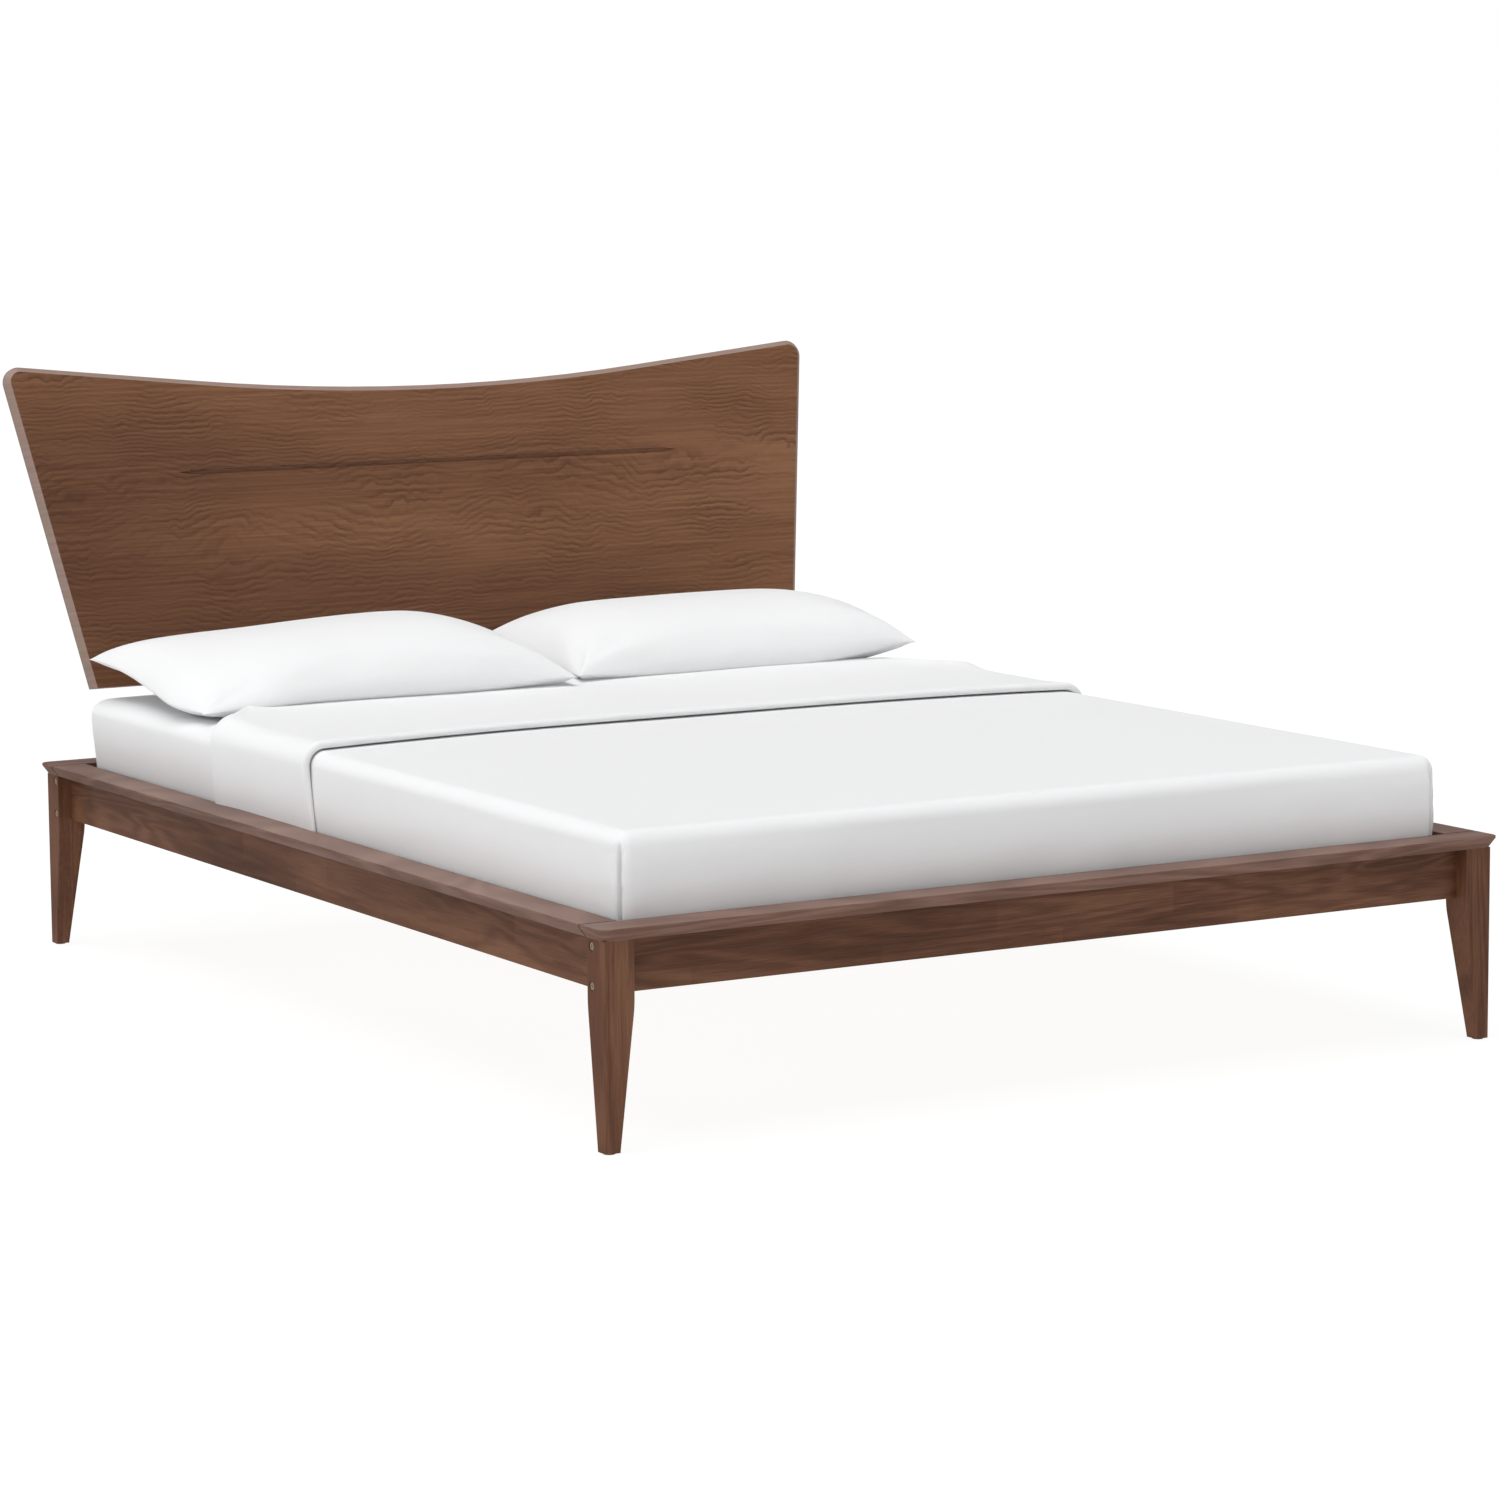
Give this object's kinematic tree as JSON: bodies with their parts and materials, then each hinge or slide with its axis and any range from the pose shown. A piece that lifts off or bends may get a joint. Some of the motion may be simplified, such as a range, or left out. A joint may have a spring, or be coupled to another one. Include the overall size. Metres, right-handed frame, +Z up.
{
  "type": "platform bed",
  "caption": "Low platform bed with tapered legs, bevelled ledge and a raked fan-shaped headboard, dressed with mattress, sheets and pillows.",
  "frame": {"origin": "on the floor, under the middle of the whole bed's box", "axes": "+Z up, +Y from the foot end towards the headboard, +X to the right seen from the foot"},
  "size_m": [1.7474, 2.3079, 1.0866],
  "materials": {
    "walnut_veneer": "satin lacquer over stained oak-grained veneer",
    "walnut_frame": "satin walnut stain on solid wood",
    "slat_pine": "planed unfinished pine",
    "bolt_steel": "zinc plated",
    "bracket_steel": "black powder coat",
    "foot_nylon": "matte nylon",
    "mattress_ticking": "knitted ticking",
    "white_cotton": "smooth cotton percale"
  },
  "bodies": {
    "bed_frame": {"headboard_panel": "walnut_veneer", "headboard_strut_left": "walnut_frame", "headboard_strut_right": "walnut_frame", "head_rail": "walnut_frame", "foot_rail": "walnut_frame", "side_rail_left": "walnut_frame", "side_rail_right": "walnut_frame", "head_cap": "walnut_frame", "foot_cap": "walnut_frame", "side_cap_left": "walnut_frame", "side_cap_right": "walnut_frame", "leg_head_left": "walnut_frame", "leg_head_right": "walnut_frame", "leg_foot_left": "walnut_frame", "leg_foot_right": "walnut_frame", "slat_01": "slat_pine", "slat_02": "slat_pine", "slat_03": "slat_pine", "slat_04": "slat_pine", "slat_05": "slat_pine", "slat_06": "slat_pine", "slat_07": "slat_pine", "slat_08": "slat_pine", "slat_09": "slat_pine", "slat_10": "slat_pine", "slat_11": "slat_pine", "slat_12": "slat_pine", "slat_13": "slat_pine", "side_ledger_left": "slat_pine", "side_ledger_right": "slat_pine", "centre_beam": "slat_pine", "centre_leg": "slat_pine", "cap_dowels": "slat_pine", "leg_bolts": "bolt_steel", "barrel_nuts": "bolt_steel", "strut_panel_screws": "bolt_steel", "strut_rail_bolts": "bolt_steel", "strut_rail_nuts": "bolt_steel", "bracket_screws": "bolt_steel", "ledger_screws": "bolt_steel", "slat_screws": "bolt_steel", "hanger_screws": "bolt_steel", "centre_leg_bolt": "bolt_steel", "leveller_insert": "bolt_steel", "corner_bracket_foot_left": "bracket_steel", "corner_bracket_foot_right": "bracket_steel", "corner_bracket_head_left": "bracket_steel", "corner_bracket_head_right": "bracket_steel", "beam_hanger_foot": "bracket_steel", "beam_hanger_head": "bracket_steel", "leg_glides": "foot_nylon"},
    "mattress": {"mattress": "mattress_ticking", "fitted_sheet": "white_cotton", "coverlet": "white_cotton", "turned_back_band": "white_cotton"},
    "pillow_left": {"pillow_left": "white_cotton"},
    "pillow_right": {"pillow_right": "white_cotton"},
    "levelling_foot": {"levelling_foot": "foot_nylon"}
  },
  "joints": [
    {"name": "mattress_lift", "type": "slide", "parent": "bed_frame", "child": "mattress", "axis": [0, 0, 1], "range_m": [0, 0.3]},
    {"name": "pillow_left_lift", "type": "slide", "parent": "mattress", "child": "pillow_left", "axis": [0, 0, 1], "range_m": [0, 0.3]},
    {"name": "pillow_right_lift", "type": "slide", "parent": "mattress", "child": "pillow_right", "axis": [0, 0, 1], "range_m": [0, 0.3]},
    {"name": "levelling_foot_screw", "type": "slide", "parent": "bed_frame", "child": "levelling_foot", "axis": [0, 0, 1], "range_m": [0, 0.01]}
  ]
}
